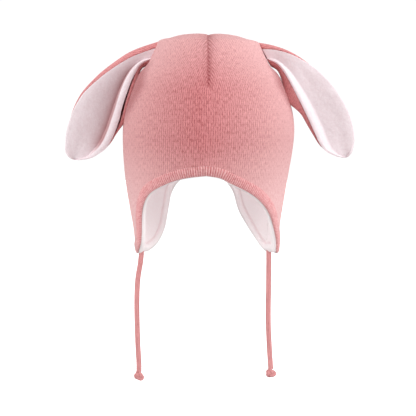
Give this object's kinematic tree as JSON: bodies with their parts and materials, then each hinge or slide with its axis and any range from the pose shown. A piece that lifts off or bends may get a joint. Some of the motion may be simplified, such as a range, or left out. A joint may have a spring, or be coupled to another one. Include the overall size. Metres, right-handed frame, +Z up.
{
  "type": "baby hat with ears",
  "caption": "Fine-knit baby hat with a fleece lining, drooping lined ears, earflaps with a ribbed edge band, and knotted tie cords.",
  "frame": {"origin": "where the top of the head rests under the lining, at the middle of the crown", "axes": "+Z up out of the crown, -Y towards the face opening, +X towards the ear on the right of a front view"},
  "size_m": [0.2516, 0.1735, 0.3061],
  "materials": {
    "pink_knit": "fine matte stocking-stitch knit",
    "pink_rib": "matte ribbed knit band",
    "white_fleece": "soft short-pile fleece",
    "pink_cord": "matte twisted cord"
  },
  "bodies": {
    "root": {"knit_shell": "pink_knit", "edge_band": "pink_rib", "fleece_lining": "white_fleece", "left_ear_knit": "pink_knit", "left_ear_fleece": "white_fleece", "left_tie": "pink_cord", "left_tie_knot": "pink_cord", "right_ear_knit": "pink_knit", "right_ear_fleece": "white_fleece", "right_tie": "pink_cord", "right_tie_knot": "pink_cord"}
  },
  "joints": []
}
